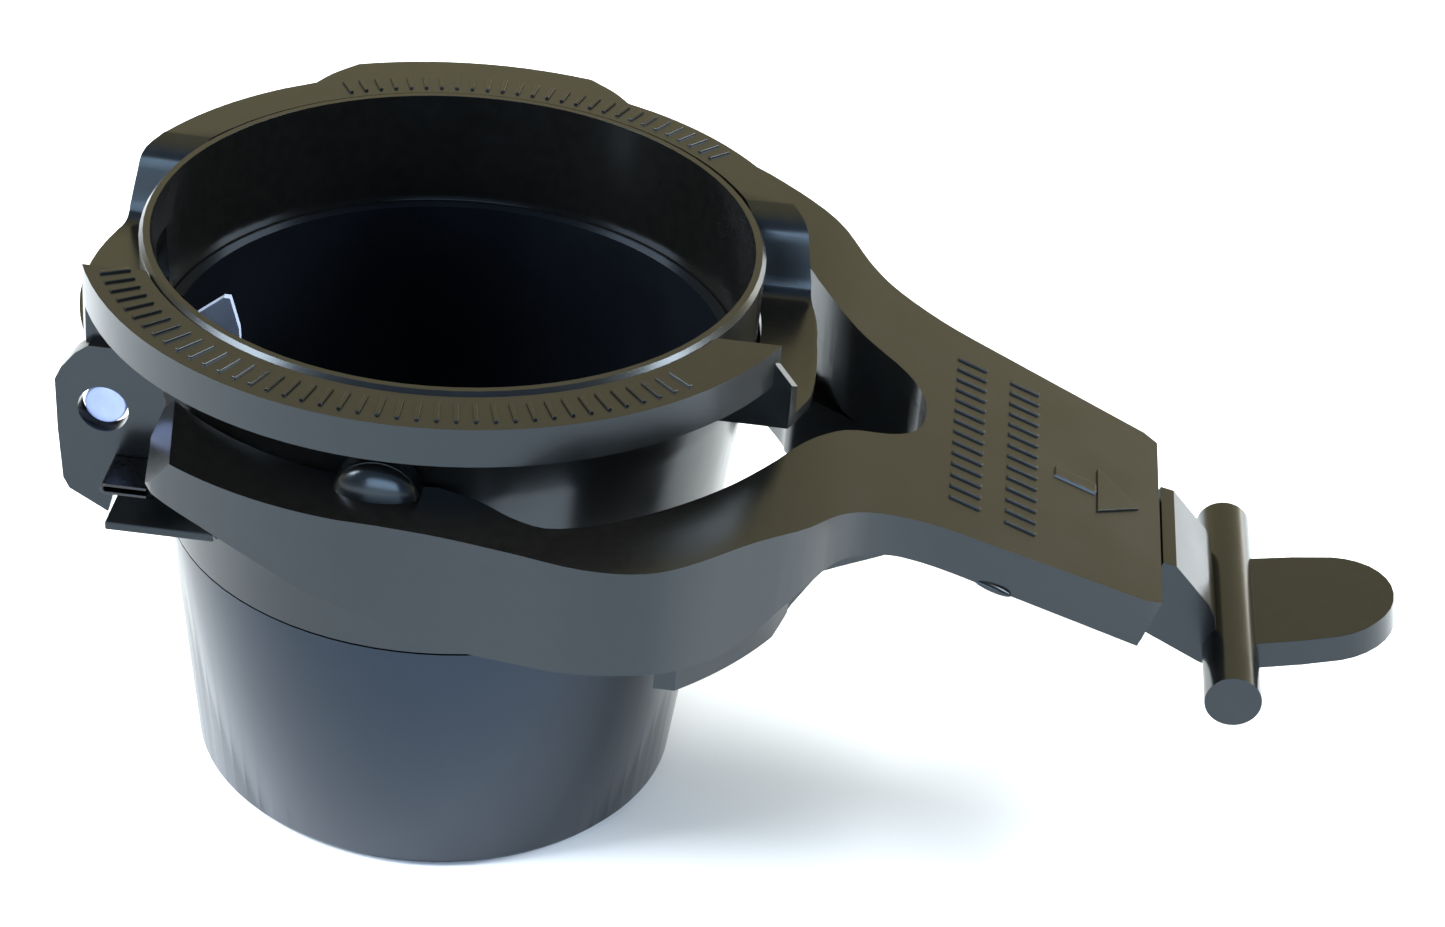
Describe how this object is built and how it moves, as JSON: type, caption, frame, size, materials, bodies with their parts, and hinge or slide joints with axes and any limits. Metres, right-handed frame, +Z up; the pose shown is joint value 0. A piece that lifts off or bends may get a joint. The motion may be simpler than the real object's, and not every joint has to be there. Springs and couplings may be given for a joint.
{
  "type": "hand lever throat cutter",
  "caption": "Tapered black plastic throat with a saddle grip collar, a swinging yoke lever with a sliding finger tail, and a small pointed blade on a side bracket.",
  "frame": {"origin": "centre of the bounding box in X and Y, on the surface that the throat's base stands on", "axes": "+Z up along the throat, +X from the throat along the handle to the thumb tab, +Y to the far side"},
  "size_m": [0.2046, 0.1274, 0.0906],
  "materials": {
    "black_plastic": "satin black moulding with a fine mottled grain and bright rolled edges",
    "tube_plastic": "smooth black moulding with soft vertical highlights",
    "inner_plastic": "plain black moulding",
    "blade_steel": "light ground steel",
    "pin_steel": "pale satin pin end",
    "dull_steel": "plain zinc-grey steel",
    "dark_steel": "blackened spring steel"
  },
  "bodies": {
    "housing": {"lower_tube": "tube_plastic", "throat_ring": "black_plastic", "grip_collar": "black_plastic", "bracket_floor": "inner_plastic", "blade_pin": "pin_steel", "pin_clip": "dull_steel", "blade_spring": "dull_steel", "leaf_spring": "dark_steel", "pivot_stud_near": "dull_steel", "pivot_stud_far": "dull_steel", "pivot_washer_near": "inner_plastic", "pivot_washer_far": "inner_plastic"},
    "blade": {"blade_carrier": "inner_plastic", "cutter_blade": "blade_steel", "blade_rivet_1": "dull_steel", "blade_rivet_2": "dull_steel"},
    "lever": {"yoke_lever": "black_plastic", "handle_cover": "black_plastic", "cover_screw_1": "dull_steel", "cover_screw_2": "dull_steel", "cover_screw_3": "dull_steel", "cover_screw_4": "dull_steel", "tail_spring_near": "dull_steel", "tail_spring_far": "dull_steel"},
    "tail": {"finger_tail": "black_plastic"}
  },
  "joints": [
    {"name": "lever_swing", "type": "hinge", "parent": "housing", "child": "lever", "pos_m": [-0.0486, 0, 0.0748], "axis": [0, 1, 0], "range_deg": [-18, 9]},
    {"name": "blade_swing", "type": "hinge", "parent": "housing", "child": "blade", "pos_m": [-0.0937, 0, 0.0681], "axis": [0, 1, 0], "range_deg": [0, 30], "stiffness_Nm_per_rad": 0.02, "springref_deg": -34.38},
    {"name": "tail_slide", "type": "slide", "parent": "lever", "child": "tail", "axis": [0.9361, 0, -0.3518], "range_m": [0, 0.006], "stiffness_N_per_m": 150, "springref_m": -0.004, "deforming": ["tail_spring_near", "tail_spring_far"]}
  ]
}
